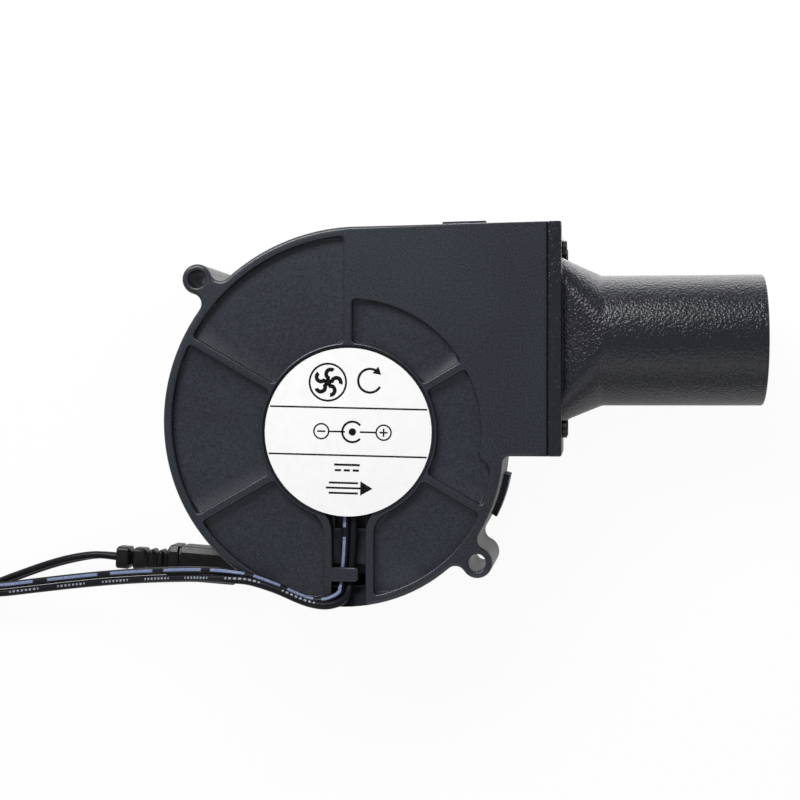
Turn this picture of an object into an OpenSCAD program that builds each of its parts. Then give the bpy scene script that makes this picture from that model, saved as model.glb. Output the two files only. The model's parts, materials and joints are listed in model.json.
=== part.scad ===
// Centrifugal blower: scroll casing with a clip-on inlet cover, outer-rotor motor, bladed impeller,
// rectangular-to-round outlet nozzle, and a twin lead with an inline connector. Millimetres.
// Origin on the rotor axis in the inlet face, +Z towards the label, +X out of the nozzle.

/* [Scroll casing] */
// Thickness of the casing from the inlet face to the rear face
casing_t = 33; // [31:0.5:38]
// Wall thickness of the casing and the cover
wall = 2; // [1.6:0.1:2.4]
// Height of the inlet cover up to the split line
split_z = 7; // [6.6:0.2:9]
// Gap between the impeller and the scroll's tongue
cutoff_gap = 1.2; // [1:0.1:3]
// How far the scroll wall closes in at the tongue
tongue_in = 0.9; // [0:0.1:1.2]
// How far the scroll wall swells at the bottom
belly = 0.5; // [0:0.1:0.8]
// Angle by which the scroll wall opens as it goes round, degrees
expansion_deg = 3.25; // [2.6:0.05:4]
// Distance of the outlet's floor below the shaft
floor_drop = 6; // [4:0.2:9]
// Length of the outlet past the impeller
outlet_reach = 13.8; // [12:0.2:24]
// Radius of the fillet outside the tongue
tongue_fillet = 1.8; // [1:0.1:2.6]
// Rise of the outlet's roof from the scroll to the outlet
roof_rise = 0.8; // [0:0.1:1.5]

/* [Screw ears] */
// Angle of the diagonal through the two ears, degrees
ear_deg = 135; // [125:1:145]
// Distance of the upper ear's hole from the scroll wall
upper_ear_out = 5.4; // [4.4:0.1:7]
// Distance of the lower ear's hole from the scroll wall
lower_ear_out = 4; // [3.8:0.1:7]
// Outer radius of an ear
ear_r = 3.9; // [3.4:0.1:5]
// Diameter of an ear's hole
ear_hole_d = 4.5; // [3:0.1:5]
// Radius of the fillet between an ear and the scroll
ear_fillet = 2.6; // [1.5:0.1:4]

/* [Rear face] */
// Depth of the pockets
pocket_d = 1.8; // [1:0.1:2.2]
// Width of the rim around the pockets
rim_w = 2.3; // [1.8:0.1:3]
// Width of the ribs between the pockets
rib_w = 2.2; // [1.6:0.1:3]
// Radius of the raised outlet roof's inner edge
roof_r = 33.9; // [32:0.1:35.5]
// Diameter of the label
label_d = 42.8; // [38:0.2:44]
// Thickness of the label
label_t = 0.2; // [0.1:0.05:0.3]
// Depth of the recess that the label sits in
label_recess = 0.4; // [0.3:0.05:0.8]
// Width of the ring around the label recess
label_ring = 1.1; // [0.8:0.1:2]
// Width of the lead channel
channel_w = 8.6; // [7:0.1:10]
// Depth of the lead channel
channel_d = 3.6; // [3.5:0.1:4]
// Width of the walls beside the lead channel
channel_leg = 2.2; // [1.6:0.1:3]
// Radius of the fillet from the channel walls into the label ring
channel_fillet = 6; // [4:0.5:8]
// Distance of the lead hook from the shaft
hook_y = 36.2; // [35.5:0.1:37]
// Width of the lead hook
hook_w = 3.7; // [2.8:0.1:4]
// Thickness of the lead hook
hook_t = 1.1; // [0.8:0.1:1.2]

/* [Snap clips] */
// Width of a clip arm
clip_w = 11.2; // [8:0.2:12]
// Thickness of a clip arm
clip_t = 1.35; // [1:0.05:1.8]
// Height of the clip arms on the scroll
clip_h = 11.5; // [11:0.5:14]
// Height of the clip arm on the outlet roof
roof_clip_h = 24; // [12:0.5:28]
// Distance of the roof clip from the shaft, along the outlet
roof_clip_x = 29; // [20:0.5:34]

/* [Impeller] */
// Outer diameter of the impeller
impeller_d = 73.6; // [70:0.2:80]
// Number of blades
blade_count = 37; // [25:1:41]
// Radial depth of the blades
blade_depth = 7.6; // [5:0.1:8]
// Thickness of a blade
blade_t = 1; // [0.8:0.05:1.3]
// Angle by which a blade leans forward from root to tip, degrees
blade_lean = 9; // [4:0.5:14]
// Width of the ring that ties the blades at the inlet
inlet_ring_w = 2.4; // [1.5:0.1:4]
// Thickness of the impeller's hub, disc and ring
hub_wall = 1.6; // [1.2:0.1:2]
// Depth of the hub face inside the inlet
hub_inset = 5.8; // [5:0.1:6.5]
// Height of the inlet lip of the cover
lip_h = 3.4; // [2.6:0.1:3.6]

/* [Motor] */
// Outer diameter of the rotor's steel yoke
yoke_d = 40; // [38:0.2:42]
// Wall thickness of the yoke
yoke_t = 1.2; // [0.8:0.1:1.5]
// Thickness of the magnet ring
magnet_t = 2.7; // [2:0.1:3]
// Length of the magnet ring
magnet_l = 12.6; // [10:0.2:13]
// Air gap between magnet and stator
air_gap = 0.4; // [0.3:0.05:0.6]
// Thickness of the stator core
core_t = 8; // [6:0.2:9]
// Width of a stator arm
core_arm_w = 4; // [3:0.2:5]
// Thickness of the coils on each side of an arm
coil_t = 1.9; // [1.2:0.1:2.2]
// Thickness of the circuit board
board_t = 1.2; // [0.8:0.1:1.6]
// Diameter of the circuit board
board_d = 37; // [34:0.5:38]

/* [Bearings] */
// Diameter of the shaft
shaft_d = 3; // [2:0.1:3.4]
// Outer diameter of a ball bearing
bearing_d = 8; // [7.6:0.1:9]
// Width of a ball bearing
bearing_w = 4; // [3:0.1:4.2]
// Wall thickness of the bearing tube
tube_wall = 1; // [0.8:0.1:1.4]
// Number of balls in a bearing
ball_count = 7; // [5:1:7]

/* [Outlet nozzle] */
// Outer diameter of the round spigot
nozzle_d = 33.6; // [30:0.2:35]
// Length of the nozzle from the flange's face to its tip
nozzle_l = 51; // [40:1:80]
// Length of the change from oblong to round
nozzle_change = 10.2; // [8:0.1:16]
// Wall thickness of the nozzle
nozzle_wall = 1.9; // [1.5:0.1:2.5]
// Thickness of the flange
flange_t = 3.5; // [2.5:0.1:5]
// Height of the oblong foot on the flange
foot_h = 41.8; // [38:0.2:44]
// Depth of the oblong foot on the flange
foot_w = 28; // [26:0.2:29]
// Corner radius of the oblong foot
foot_r = 7.6; // [6:0.2:10]
// Distance from screw to screw along the outlet's height
screw_span_y = 45.4; // [44:0.2:48]
// Distance from screw to screw along the casing's thickness
screw_span_z = 24; // [23:0.2:25]
// Diameter of a screw's head
screw_head_d = 4.4; // [3.6:0.1:4.8]
// Diameter of a screw's shank
screw_d = 2.2; // [1.8:0.1:2.4]
// Length of a screw's shank
screw_l = 10; // [8:0.5:12]

/* [Lead and connector] */
// Diameter of one conductor with its insulation
wire_d = 2; // [1.6:0.05:2]
// Width of the connector's squared body
connector_w = 9.5; // [9:0.1:10]
// Width of the chamfers along the body
connector_chamfer = 1.7; // [1:0.1:2]
// Length of the ridged grip
grip_l = 18.4; // [18:0.2:18.6]
// Length of the connector shell past the grip
shell_l = 15.4; // [14:0.2:15.6]
// Diameter of the socket in the connector
socket_d = 5.8; // [5.6:0.1:6.4]
// Diameter of the centre pin
pin_d = 2; // [1.6:0.05:2.5]

/* [Hidden] */
$fn = 64;

over = 0.5; // how far a cut runs past the face it opens
seat_gap = 0.01; // radial gap of seated parts
run_gap = 0.8; // axial gap beside turning parts

// Scroll: a log spiral that starts at the tongue and ends in the outlet's roof
impeller_r = impeller_d / 2;
tongue_y = -floor_drop - tongue_fillet;
tongue_r = impeller_r + cutoff_gap + wall + tongue_fillet;
tongue_c = [sqrt(pow(tongue_r, 2) - pow(tongue_y, 2)), tongue_y];
tongue_deg = 360 + atan2(tongue_c.y, tongue_c.x);
scroll_step = 3; // degrees between points of the spiral
function polar(r, a) = [r * cos(a), r * sin(a)];
function wrap(a) = a - 360 * floor(a / 360);
function heading(v) = atan2(v.y, v.x);
belly_deg = 288; // where the scroll wall swells most
belly_span = 50; // degrees to each side over which it swells
closing_deg = 324; // where the wall starts to close in towards the tongue
function swell(a) = (1 + cos(180 * min(1, abs(a - belly_deg) / belly_span))) / 2;
function closing(a) = max(0, (a - closing_deg) / (tongue_deg - closing_deg));
function scroll_in(a) = belly * swell(a) - tongue_in * closing(a)
    + (impeller_r + cutoff_gap + tongue_in) * exp(tan(expansion_deg) * (tongue_deg - a) * PI / 180);
function scroll_r(a) = scroll_in(a) + wall;
// Both leave out their last point, where the next stretch starts
function arc(c, r, a0, a1, n) = [for (i = [0:n - 1]) c + polar(r, a0 + (a1 - a0) * i / n)];
function scroll(a0, a1, off) = let (n = ceil((a1 - a0) / scroll_step))
    [for (i = [0:n - 1]) let (a = a0 + (a1 - a0) * i / n) polar(scroll_r(a) + off, a)];

outlet_top = scroll_r(90) + roof_rise;
outlet_floor = -floor_drop;
outlet_x = impeller_r + outlet_reach;
outlet_h = outlet_top - outlet_floor;
outlet_y = (outlet_top + outlet_floor) / 2;
roof_deg = atan2(roof_rise, outlet_x);

// Ears: a round boss that runs into the scroll over two fillets
upper_ear_r = scroll_r(ear_deg) + upper_ear_out;
lower_ear_r = scroll_r(ear_deg + 180) + lower_ear_out;
function ear_turn(er, rs) = acos((er * er + pow(rs + ear_fillet, 2) - pow(ear_r + ear_fillet, 2))
    / (2 * er * (rs + ear_fillet)));
function ear_edge(a, er, s) = let (near = a + s * ear_turn(er, scroll_r(a)))
    a + s * ear_turn(er, scroll_r(near));
function ear(a, er) = let (
    e = polar(er, a), lo = ear_edge(a, er, -1), hi = ear_edge(a, er, 1),
    c1 = polar(scroll_r(lo) + ear_fillet, lo), c2 = polar(scroll_r(hi) + ear_fillet, hi),
    in1 = lo + 180 - wrap(lo + 180 - heading(e - c1)),
    b0 = in1 - 180, b1 = b0 + wrap(heading(c2 - e) - b0),
    out2 = b1 - 180 - wrap(b1 - 180 - (hi + 180)))
    concat(arc(c1, ear_fillet, lo + 180, in1, 6), arc(e, ear_r, b0, b1, 20),
        arc(c2, ear_fillet, b1 - 180, out2, 6));
function tongue(in) = concat(arc(tongue_c, tongue_fillet + in, tongue_deg - 180, 90, 8),
    [[tongue_c.x, outlet_floor + in]]);
function casing_outline() = concat(
    scroll(90, ear_edge(ear_deg, upper_ear_r, -1), 0), ear(ear_deg, upper_ear_r),
    scroll(ear_edge(ear_deg, upper_ear_r, 1), ear_edge(ear_deg + 180, lower_ear_r, -1), 0),
    ear(ear_deg + 180, lower_ear_r), scroll(ear_edge(ear_deg + 180, lower_ear_r, 1), tongue_deg, 0),
    tongue(0), [[outlet_x, outlet_floor], [outlet_x, outlet_top]]);
function cavity_outline() = concat(scroll(90, tongue_deg, -wall), tongue(wall),
    [[outlet_x + over, outlet_floor + wall], [outlet_x + over, outlet_top - wall]]);

// Heights on the rear side, from the rear face inwards
pocket_z = casing_t - pocket_d;
plate_in_z = pocket_z - wall;
roof_in_z = casing_t - wall;
label_z = casing_t - label_recess;
channel_z = casing_t - channel_d;
trough_t = 1.4; // floor under the lead channel
label_gap = 0.3; // around the label in its recess
hub_ring_r = label_d / 2 + label_gap + label_ring;
rib_angles = [30, 90, 150, 210, 330];
channel_x = 0.2; // middle of the lead channel
channel_end = scroll_r(270) + over;
fillet_bite = 0.1; // by which the channel's fillets run into the label ring
hook_len = 6.8;
hook_tip_r = 0.9;
hook_hole_y = 36.5;
hook_hole_h = 5.6;
hook_hole_r = 1.2;
ramp_lip = 0.5; // from the rear face to the top of the ramp at the channel's mouth
notch_deg = 346.5; // end of the pocket beside the tongue
notch_turn = 4.7; // from the pocket's outer corner to a point inside the roof's edge
notch_in = 1.5; // of that point, from the roof's edge
lead_slot = [8, 10]; // opening from the motor into the channel
lead_slot_y = -14.6;

// Motor stack, from the rear plate towards the inlet
board_gap = 1.4; // from the plate to the circuit board
rotor_gap = 1.2; // from the circuit board to the rotor
core_gap = 5; // from the circuit board to the stator core
board_rear_z = plate_in_z - board_gap;
board_z = board_rear_z - board_t;
rotor_rear_z = board_z - rotor_gap;
core_rear_z = board_z - core_gap;
core_z = core_rear_z - core_t;
hub_z = hub_inset;
yoke_z = hub_z + hub_wall;
yoke_r = yoke_d / 2;
hub_r = yoke_r + seat_gap + hub_wall;
magnet_r = yoke_r - yoke_t - seat_gap;
core_r = magnet_r - magnet_t - air_gap;
magnet_z = core_z + core_t / 2 - magnet_l / 2;
yoke_past = 1; // yoke past the magnet ring
yoke_rear_z = magnet_z + magnet_l + yoke_past;
bearing_r = bearing_d / 2;
shaft_r = shaft_d / 2;
tube_r = bearing_r + tube_wall;
tube_past = 1.6; // bearing tube past the stator core
tube_seat = 1.2; // depth of the tube's seat in the rear plate
boss_wall = 2.2; // of the boss around the tube
board_play = 0.2; // between the circuit board and the tube
tube_z = core_z - tube_past;
tube_rear_z = plate_in_z + tube_seat;
front_bearing_z = tube_z;
rear_bearing_inset = 2;
rear_bearing_z = tube_rear_z - rear_bearing_inset - bearing_w;
end_play = 0.05; // axial gap between stacked parts
clip_groove = 0.3; // depth of the clip's groove in the shaft
clip_ring_t = 0.5;
clip_ring_w = 0.8; // of the clip outside the shaft
clip_ring_z = rear_bearing_z + bearing_w + end_play;
shaft_past = 0.5; // shaft past its clip
shaft_rear_z = clip_ring_z + clip_ring_t + shaft_past;
bush_wall = 1.7;
bush_r = shaft_r + bush_wall;
spring_h = 2.4; // from the bush to the front bearing
spring_wire = 0.36;
spring_off = 0.5; // from the shaft to the middle of the spring's wire
bush_end_z = tube_z - spring_h;

// Stator
core_hub = 2.6; // ring of the core around the tube
shoe_t = 2.2; // depth of a pole shoe
shoe_gap = 2.4; // between pole shoes
end_plate_t = 1; // insulator plate on the core
end_plate_side = 0.5; // of the plate past an arm and short of the rim
guard_h = 2.6; // insulator wall that keeps the coils in
guard_t = 1.2;
guard_inset = 0.8;
collar_wall = 1.4; // of the insulator around the tube
coil_inset = 3.4; // from the tube, and from the core's rim
coil_slack = 0.1;
coil_in_r = tube_r + coil_inset;
coil_out_r = core_r - coil_inset;

// Parts on the circuit board
chip_r = 13.6; // from the shaft
chip_size = [4, 5, 1.5];
sensor_r = 14;
sensor_size = [1.6, 4, 1.5];
small_part_size = [2, 1.2, 0.8];

// Bearing insides
race_t = 0.8;
track_d = 0.34; // depth of the balls' track in each ring
ball_r = (bearing_r - shaft_r) / 2 - race_t + track_d;
ball_gap = 0.03;
pitch_r = (bearing_r + shaft_r) / 2;
cage_t = 0.6;
cage_side = 0.35; // of the cage beside the balls
cage_h = 2 * (ball_r + cage_side);

// Impeller
blade_in_r = impeller_r - blade_depth;
inlet_past = 0.8; // of the inlet outside the blades' inner edge
inlet_r = blade_in_r + inlet_past;
blade_z = lip_h + run_gap;

// Outlet nozzle
nozzle_r = nozzle_d / 2;
nozzle_lift = 0.1; // of the spigot above the inlet face's plane
nozzle_z = max(casing_t / 2, nozzle_r + nozzle_lift);
nozzle_x = outlet_x + flange_t;
post_end = 1.5; // post past a screw's tip
post_wall = 1.2; // post around a screw
post_l = screw_l - flange_t + post_end;
post_r = screw_d / 2 + post_wall;
head_t = 1.3;
head_slot = [2.4, 0.5];
thread_gap = 0.02;
screw_spots = [for (sy = [-1, 1], sz = [-1, 1])
    [outlet_y + sy * screw_span_y / 2, casing_t / 2 + sz * screw_span_z / 2]];

// Snap clips
clip_degs = [110, 175, 250, 336];
clip_gap = 0.1; // between an arm and the wall it lies on
clip_root = 0.2; // by which an arm's root is wider on each side
catch_w = 5.6;
catch_z = [9, 10.2];
window_gap = 0.35;

// Connector on the lead's end
connector_spot = [-68.2, -35.05, connector_w / 2];
connector_deg = -4;
cable_end_r = 3;
first_ridge = 3.4; // from the cable's end to the first groove
ridge_count = 5;
ridge_pitch = 2.4;
ridge_groove = 0.7;
collar_l = 2.8; // squared end of the grip
collar_neck = [0.5, 0.6]; // length and depth of the groove between the grip and the shell
socket_depth = 10.4; // of the hole in the connector shell
sleeve_t = 0.3;
sleeve_inset = 1;
pin_inset = 1.4;

// Middle of the twin lead: x, y, z and the roll of the pair in degrees
wire_r = wire_d / 2;
pair_gap = 0.06; // between the two conductors
wire_off = wire_r + pair_gap / 2;
lead_route = [[0.2, -16, 28.95, 0], [0.2, -19.5, 29.6, 0], [0.2, -23, 30.3, 0], [0.2, -27, 30.6, 0],
    [0, -31, 30.6, 0], [-0.3, -34.5, 30.5, 0], [-0.6, -38, 30.55, 0], [-0.8, -40, 31.7, 0],
    [-1.2, -41.4, 33.3, -12], [-2.8, -42.5, 34.6, -34], [-5.4, -43.2, 35.1, -58], [-8.6, -43, 35.2, -72],
    [-12, -42, 35.2, -76], [-18, -39.5, 35.2, -74], [-24.5, -37.4, 35.2, -62],
    [-29.5, -36.8, 34.9, -44], [-35.5, -36.8, 31.8, -22], [-43.5, -37.3, 26.5, -6],
    [-55.5, -38.5, 19.6, 0], [-67.5, -39.9, 14, 0], [-79.5, -41.5, 9.8, 0], [-91, -43.1, 7.3, 0],
    [-102, -44.5, 6, 0], [-110.5, -44.6, 5.5, 0], [-118.5, -42.6, 4.6, -10], [-127, -39.6, 3, -20],
    [-136, -37.6, 2, -30], [-145, -39, 1.8, -40], [-151.5, -44.5, 1.9, -50], [-153, -52.5, 2, -60],
    [-148.5, -59.5, 2.05, -70], [-140.5, -62, 2.1, -80], [-132, -60, 2.1, -90],
    [-124.5, -55.5, 2.1, -90], [-117, -50, 2.1, -90], [-110, -45.8, 2.1, -90], [-103, -42.6, 2.15, -90],
    [-95.5, -39.8, 2.6, -90], [-88.5, -37.4, 3.4, -90], [-81.5, -35.5, 4.4, -90],
    [-74.5, -34.61, 4.75, -90], [-68.2, -35.05, 4.75, -90]];

function unit(v) = v / norm(v);
function spot(p) = [p[0], p[1], p[2]];
function forward(r, i) = unit(spot(r[min(i + 1, len(r) - 1)]) - spot(r[max(i - 1, 0)]));
function sideways(t) = unit(cross(t, [0, 0, 1]));
// Route of one conductor, beside the middle of the pair
function beside(r, off) = [for (i = [0:len(r) - 1])
    let (t = forward(r, i), s = sideways(t), u = cross(s, t))
    spot(r[i]) + off * (cos(r[i][3]) * s + sin(r[i][3]) * u)];

// Tube of n sides along a list of points
module sweep(path, r, n) {
    last = len(path) - 1;
    points = [for (i = [0:last]) let (t = forward(path, i), s = sideways(t), u = cross(s, t))
        for (k = [0:n - 1]) path[i] + r * (cos(360 * k / n) * s + sin(360 * k / n) * u)];
    sides = [for (i = [0:last - 1], k = [0:n - 1]) let (a = i * n + k, b = i * n + (k + 1) % n)
        each [[a, a + n, b], [b, a + n, b + n]]];
    polyhedron(points, concat(sides, [[for (k = [0:n - 1]) k],
        [for (k = [n - 1:-1:0]) last * n + k]]), convexity = 10);
}

module ring(r_out, r_in, h) {
    difference() {
        cylinder(r = r_out, h = h);
        translate([0, 0, -over]) cylinder(r = r_in, h = h + 2 * over);
    }
}

module at_screws() {
    for (p = screw_spots) translate([0, p.x, p.y]) rotate([0, 90, 0]) children();
}

module ear_holes() {
    for (e = [polar(upper_ear_r, ear_deg), polar(lower_ear_r, ear_deg + 180)])
        translate([e.x, e.y, -over]) cylinder(d = ear_hole_d, h = casing_t + 2 * over);
}

// Curved plate that lies on the scroll wall
module wall_patch(a, w, off, t, z0, z1) {
    half = asin(w / 2 / scroll_r(a));
    n = 4;
    inner = [for (i = [0:n]) let (b = a - half + 2 * half * i / n) polar(scroll_r(b) + off, b)];
    outer = [for (i = [n:-1:0]) let (b = a - half + 2 * half * i / n) polar(scroll_r(b) + off + t, b)];
    translate([0, 0, z0]) linear_extrude(z1 - z0) polygon(concat(inner, outer));
}

module roof_patch(w, off, t, z0, z1) {
    translate([0, scroll_r(90), z0]) rotate(roof_deg) translate([roof_clip_x - w / 2, off, 0])
        cube([w, t, z1 - z0]);
}

// Corner blocks that take the nozzle screws, at one side of the split
module screw_posts(z0, z1) {
    for (sy = [-1, 1]) {
        inner = screw_span_y / 2 - post_r;
        y0 = sy < 0 ? -outlet_h / 2 + wall / 2 : inner;
        translate([outlet_x - post_l, outlet_y + y0, z0])
            cube([post_l, outlet_h / 2 - wall / 2 - inner, z1 - z0]);
    }
}

module screw_holes() {
    translate([outlet_x - screw_l, 0, 0])
        at_screws() cylinder(d = screw_d + 2 * thread_gap, h = screw_l + over);
}

// Lead channel with walls that flare into the label ring; leg 0 gives the channel, else its walls too
module channel_shape(leg) {
    half = channel_w / 2 + leg;
    fx = channel_w / 2 + channel_leg + channel_fillet;
    fr = hub_ring_r + channel_fillet - fillet_bite;
    fy = -sqrt(fr * fr - fx * fx);
    tip = [fx, fy] * hub_ring_r / fr;
    translate([channel_x, 0]) {
        translate([-half, -channel_end]) square([2 * half, channel_end + fy + over]);
        difference() {
            polygon([[-fx, fy], [fx, fy], tip, [-tip.x, tip.y]]);
            for (s = [-1, 1]) translate([s * fx, fy]) circle(r = channel_fillet + channel_leg - leg);
        }
    }
}

// Inner edge of the rim, which widens towards the tongue
function rim_edge(a) = polar(scroll_r(a) - rim_w - tongue_in * closing(a), a);

module pocket_shape() {
    difference() {
        union() {
            polygon(concat([for (a = [90:scroll_step:notch_deg]) rim_edge(a)],
                [rim_edge(notch_deg), polar(roof_r - notch_in, notch_deg + notch_turn), [0, 0]]));
            circle(r = roof_r);
        }
        circle(r = hub_ring_r);
        for (a = rib_angles) rotate(a) translate([0, -rib_w / 2]) square([scroll_r(90), rib_w]);
        channel_shape(channel_leg);
        translate([channel_x - channel_w / 2, -channel_end]) square([channel_w, channel_end]);
    }
}

// Plate with its two far corners rounded, from the channel's left wall along +X
module hook_shape(size, r) {
    square([size.x - r, size.y]);
    translate([0, r]) square([size.x, size.y - 2 * r]);
    for (y = [r, size.y - r]) translate([size.x - r, y]) circle(r = r);
}

// Floor that lifts the lead out at the channel's mouth
module channel_ramp() {
    foot = hook_hole_y + hook_hole_h / 2 + over;
    intersection() {
        translate([channel_x - channel_w / 2 - over, 0, 0]) rotate([90, 0, 90])
            linear_extrude(channel_w + 2 * over) polygon([[-foot, channel_z - over], [-foot, channel_z],
                [-channel_end, casing_t - ramp_lip], [-channel_end, channel_z - over]]);
        linear_extrude(casing_t) polygon(casing_outline());
    }
}

module rear_casing() {
    color("#26282b") {
        difference() {
            union() {
                difference() {
                    translate([0, 0, split_z]) linear_extrude(casing_t - split_z) polygon(casing_outline());
                    translate([0, 0, split_z - over])
                        linear_extrude(plate_in_z - split_z + over) polygon(cavity_outline());
                    translate([0, 0, split_z]) linear_extrude(roof_in_z - split_z) intersection() {
                        polygon(cavity_outline());
                        difference() {
                            translate([rib_w / 2 + wall, outlet_floor])
                                square([outlet_x, outlet_h]);
                            circle(r = roof_r + wall);
                        }
                    }
                    translate([0, 0, pocket_z]) linear_extrude(pocket_d + over) pocket_shape();
                }
                translate([0, 0, channel_z - trough_t]) linear_extrude(trough_t) intersection() {
                    channel_shape(channel_leg);
                    polygon(cavity_outline());
                }
                translate([0, 0, board_rear_z]) cylinder(r = tube_r + boss_wall, h = board_gap + wall / 2);
                screw_posts(casing_t - split_z, casing_t - wall / 2);
                for (a = clip_degs)
                    wall_patch(a, catch_w, -wall / 2, wall / 2 + clip_t, catch_z[0], catch_z[1]);
                roof_patch(catch_w, -wall / 2, wall / 2 + clip_t, catch_z[0], catch_z[1]);
            }
            translate([0, 0, label_z]) cylinder(d = label_d + 2 * label_gap, h = label_recess + over);
            translate([0, 0, board_rear_z - over])
                cylinder(r = tube_r, h = tube_rear_z - board_rear_z + over);
            translate([0, 0, channel_z]) linear_extrude(channel_d + over) channel_shape(0);
            translate([channel_x - lead_slot.x / 2, lead_slot_y - lead_slot.y, board_rear_z - over])
                cube([lead_slot.x, lead_slot.y, casing_t - board_rear_z + 2 * over]);
            translate([channel_x - channel_w / 2, -hook_hole_y - hook_hole_h / 2, plate_in_z - trough_t])
                linear_extrude(casing_t) hook_shape([channel_w, hook_hole_h], hook_hole_r);
            ear_holes();
            screw_holes();
        }
        translate([channel_x - channel_w / 2 - over, -hook_y - hook_w / 2, casing_t - hook_t])
            linear_extrude(hook_t) hook_shape([hook_len + over, hook_w], hook_tip_r);
        channel_ramp();
    }
}

module inlet_cover() {
    color("#232528") difference() {
        union() {
            difference() {
                linear_extrude(split_z) polygon(casing_outline());
                translate([0, 0, wall]) linear_extrude(split_z) polygon(cavity_outline());
            }
            cylinder(r = inlet_r + hub_wall, h = lip_h);
            screw_posts(wall / 2, split_z);
            for (a = clip_degs) {
                wall_patch(a, clip_w + 2 * clip_root, -wall / 2, wall / 2 + clip_gap + clip_t, wall / 2,
                    split_z - over);
                wall_patch(a, clip_w, clip_gap, clip_t, split_z - 2 * over, clip_h);
            }
            roof_patch(clip_w + 2 * clip_root, -wall / 2, wall / 2 + clip_gap + clip_t, wall / 2,
                split_z - over);
            roof_patch(clip_w, clip_gap, clip_t, split_z - 2 * over, roof_clip_h);
        }
        translate([0, 0, -over]) cylinder(r = inlet_r, h = lip_h + 2 * over);
        for (a = clip_degs)
            wall_patch(a, catch_w + 2 * window_gap, clip_gap / 2, 2 * clip_t,
                catch_z[0] - window_gap, catch_z[1] + window_gap);
        roof_patch(catch_w + 2 * window_gap, clip_gap / 2, 2 * clip_t,
            catch_z[0] - window_gap, catch_z[1] + window_gap);
        ear_holes();
        screw_holes();
    }
}

module label() {
    color("white") translate([0, 0, label_z]) cylinder(d = label_d, h = label_t);
}

// Oblong foot on the flange blending into the round spigot; in is the inset from the outer skin
module nozzle_blend(in, x0, past) {
    corner = foot_r - in;
    hull() {
        for (sy = [-1, 1], sz = [-1, 1])
            translate([x0, outlet_y + sy * (foot_h / 2 - foot_r), nozzle_z + sz * (foot_w / 2 - foot_r)])
                rotate([0, 90, 0]) cylinder(r = corner, h = nozzle_x - x0, $fn = 32);
        translate([nozzle_x + nozzle_change, outlet_y, nozzle_z])
            rotate([0, 90, 0]) cylinder(r = nozzle_r - in, h = past, $fn = 64);
    }
}

module outlet_nozzle() {
    color("#2b2c2e") difference() {
        union() {
            translate([outlet_x, outlet_floor, 0]) cube([flange_t, outlet_h, casing_t]);
            nozzle_blend(0, outlet_x + over, over);
            translate([nozzle_x + nozzle_change, outlet_y, nozzle_z])
                rotate([0, 90, 0]) cylinder(r = nozzle_r, h = nozzle_l - nozzle_change);
        }
        nozzle_blend(nozzle_wall, outlet_x - over, over);
        translate([nozzle_x + nozzle_change, outlet_y, nozzle_z])
            rotate([0, 90, 0]) cylinder(r = nozzle_r - nozzle_wall, h = nozzle_l - nozzle_change + over);
        translate([outlet_x - over, 0, 0])
            at_screws() cylinder(d = screw_d + 2 * thread_gap, h = flange_t + 2 * over);
    }
}

module nozzle_screws() {
    color("#3a3a3c") translate([nozzle_x, 0, 0]) at_screws() {
        difference() {
            union() {
                cylinder(d = screw_head_d, h = head_t);
                translate([0, 0, over - screw_l]) cylinder(d = screw_d, h = screw_l - over + head_t / 2);
            }
            for (a = [0, 90]) rotate(a) translate([-head_slot.x / 2, -head_slot.y / 2, head_t / 2])
                cube([head_slot.x, head_slot.y, head_t]);
        }
    }
}

// One blade from its root outwards, leaning the way the impeller turns
function blade(a) = let (n = 5, half = blade_t / 2, side = function (s, i) let (k = i / n,
    r = blade_in_r + (blade_depth - over) * k) polar(r, a - blade_lean * k * k + s * half / r * 180 / PI))
    concat([for (i = [0:n]) side(-1, i)], [for (i = [n:-1:0]) side(1, i)]);

module impeller() {
    color("#303236") {
        difference() {
            union() {
                translate([0, 0, hub_z]) cylinder(r = hub_r, h = rotor_rear_z - hub_z);
                translate([0, 0, rotor_rear_z - hub_wall]) cylinder(r = impeller_r, h = hub_wall);
            }
            translate([0, 0, yoke_z]) cylinder(r = yoke_r + seat_gap, h = rotor_rear_z);
            translate([0, 0, hub_z - over]) cylinder(r = bush_r, h = hub_wall + 2 * over);
        }
        translate([0, 0, blade_z]) ring(impeller_r, impeller_r - inlet_ring_w, hub_wall);
        translate([0, 0, blade_z]) linear_extrude(rotor_rear_z - blade_z - hub_wall / 2)
            for (i = [0:blade_count - 1]) polygon(blade(360 * i / blade_count));
    }
}

module rotor_yoke() {
    color("#9a9ca0") translate([0, 0, yoke_z]) difference() {
        cylinder(r = yoke_r, h = yoke_rear_z - yoke_z);
        translate([0, 0, yoke_t]) cylinder(r = yoke_r - yoke_t, h = yoke_rear_z);
        translate([0, 0, -over]) cylinder(r = bush_r + seat_gap, h = yoke_t + 2 * over);
    }
}

module magnet_ring() {
    color("#3d3a38") translate([0, 0, magnet_z]) ring(magnet_r, magnet_r - magnet_t, magnet_l);
}

module hub_bush() {
    color("#b89a50") translate([0, 0, hub_z]) ring(bush_r - seat_gap, shaft_r + seat_gap, bush_end_z - hub_z);
}

module shaft() {
    chamfer = 0.3;
    color("#b8babd") difference() {
        translate([0, 0, hub_z]) {
            cylinder(r1 = shaft_r - chamfer, r2 = shaft_r, h = chamfer);
            translate([0, 0, chamfer]) cylinder(r = shaft_r, h = shaft_rear_z - hub_z - chamfer);
        }
        translate([0, 0, clip_ring_z]) ring(shaft_r + over, shaft_r - clip_groove, clip_ring_t);
    }
}

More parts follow.
